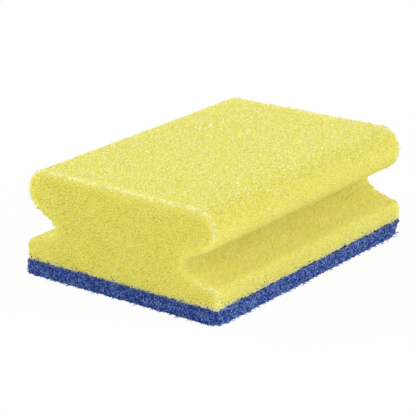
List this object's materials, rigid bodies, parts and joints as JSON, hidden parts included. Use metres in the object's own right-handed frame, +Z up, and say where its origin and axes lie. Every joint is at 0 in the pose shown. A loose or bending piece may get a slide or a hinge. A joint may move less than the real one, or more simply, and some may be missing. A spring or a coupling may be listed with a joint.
{
  "type": "cleaning sponge",
  "caption": "Hand sponge: a foam block with a flat top and a finger groove along each side, on a thick non-woven scouring pad.",
  "frame": {"origin": "centre of the footprint, on the scouring face that the sponge stands on", "axes": "+Y along the finger grooves and the length, +X across the width, +Z up from the scouring pad through the foam"},
  "size_m": [0.0684, 0.095, 0.033],
  "materials": {
    "foam": "open cells, soft, matt",
    "scouring_fleece": "coarse bonded fibres, matt"
  },
  "bodies": {
    "root": {"foam_body": "foam", "scouring_pad": "scouring_fleece"}
  },
  "joints": []
}
